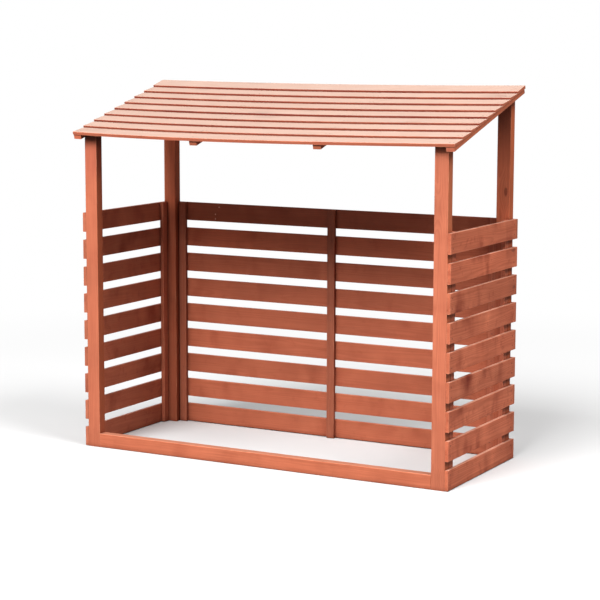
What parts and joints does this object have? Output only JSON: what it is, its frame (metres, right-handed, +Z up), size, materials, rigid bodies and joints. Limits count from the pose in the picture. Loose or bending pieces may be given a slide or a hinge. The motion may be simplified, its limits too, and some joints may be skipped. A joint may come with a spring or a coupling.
{
  "type": "log store",
  "caption": "Open-fronted timber log store: slatted sides and back on corner posts, with a lean-to roof of lapped boards sloping to the front.",
  "frame": {"origin": "on the ground, at the middle of the overall footprint", "axes": "+X along the open front to the right as seen from the front, +Y from the open front to the slatted back, +Z up"},
  "size_m": [1.91, 0.7676, 1.6951],
  "materials": {
    "stained_timber": "planed softwood with a red-brown wood stain, semi-matt, knots and grain showing",
    "roof_timber": "planed softwood weatherboards with the same red-brown stain, paler where the sky reflects"
  },
  "bodies": {
    "root": {"back_centre_batten": "stained_timber", "back_left_batten": "stained_timber", "back_right_batten": "stained_timber", "front_left_post": "stained_timber", "front_rail": "stained_timber", "front_right_post": "stained_timber", "inner_left_rafter": "stained_timber", "inner_right_rafter": "stained_timber", "left_rafter": "stained_timber", "left_side_front_batten": "stained_timber", "left_side_rear_batten": "stained_timber", "left_side_slats": "stained_timber", "rear_left_post": "stained_timber", "rear_right_post": "stained_timber", "rear_slats": "stained_timber", "right_rafter": "stained_timber", "right_side_front_batten": "stained_timber", "right_side_rear_batten": "stained_timber", "right_side_slats": "stained_timber", "roof_board_1": "roof_timber", "roof_board_2": "roof_timber", "roof_board_3": "roof_timber", "roof_board_4": "roof_timber", "roof_board_5": "roof_timber", "roof_board_6": "roof_timber", "roof_board_7": "roof_timber", "roof_board_8": "roof_timber", "roof_board_9": "roof_timber"}
  },
  "joints": []
}
